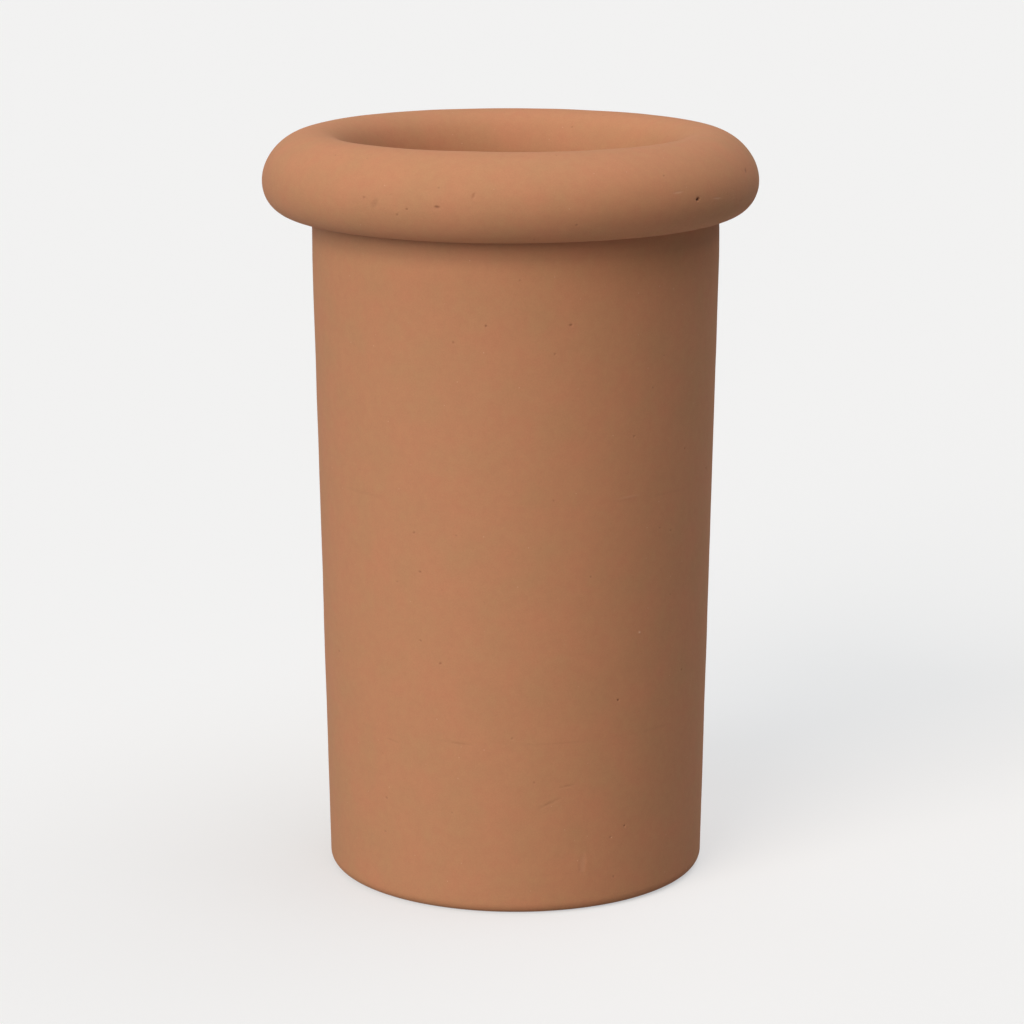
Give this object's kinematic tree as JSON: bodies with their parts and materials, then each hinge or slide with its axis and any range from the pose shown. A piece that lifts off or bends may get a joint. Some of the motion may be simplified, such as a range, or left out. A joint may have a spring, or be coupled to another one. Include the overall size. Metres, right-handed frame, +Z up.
{
  "type": "terracotta pot",
  "caption": "Tall round unglazed terracotta pot with a fat rolled rim, a slightly tapering wall and a drain hole in the raised base.",
  "frame": {"origin": "centre of the pot at the plane of the ground that the foot ring stands on", "axes": "+Z up along the pot's axis, out of its mouth; +X and +Y are any two level directions, as the pot is round"},
  "size_m": [0.3016, 0.3016, 0.46],
  "materials": {
    "terracotta": "matt unglazed fired earthenware, sponged smooth, with fine pits"
  },
  "bodies": {
    "root": {"foot_ring": "terracotta", "base_slab": "terracotta", "base_coil": "terracotta", "wall_lower": "terracotta", "wall_middle": "terracotta", "wall_upper": "terracotta", "neck_coil": "terracotta", "rim_roll": "terracotta"}
  },
  "joints": []
}
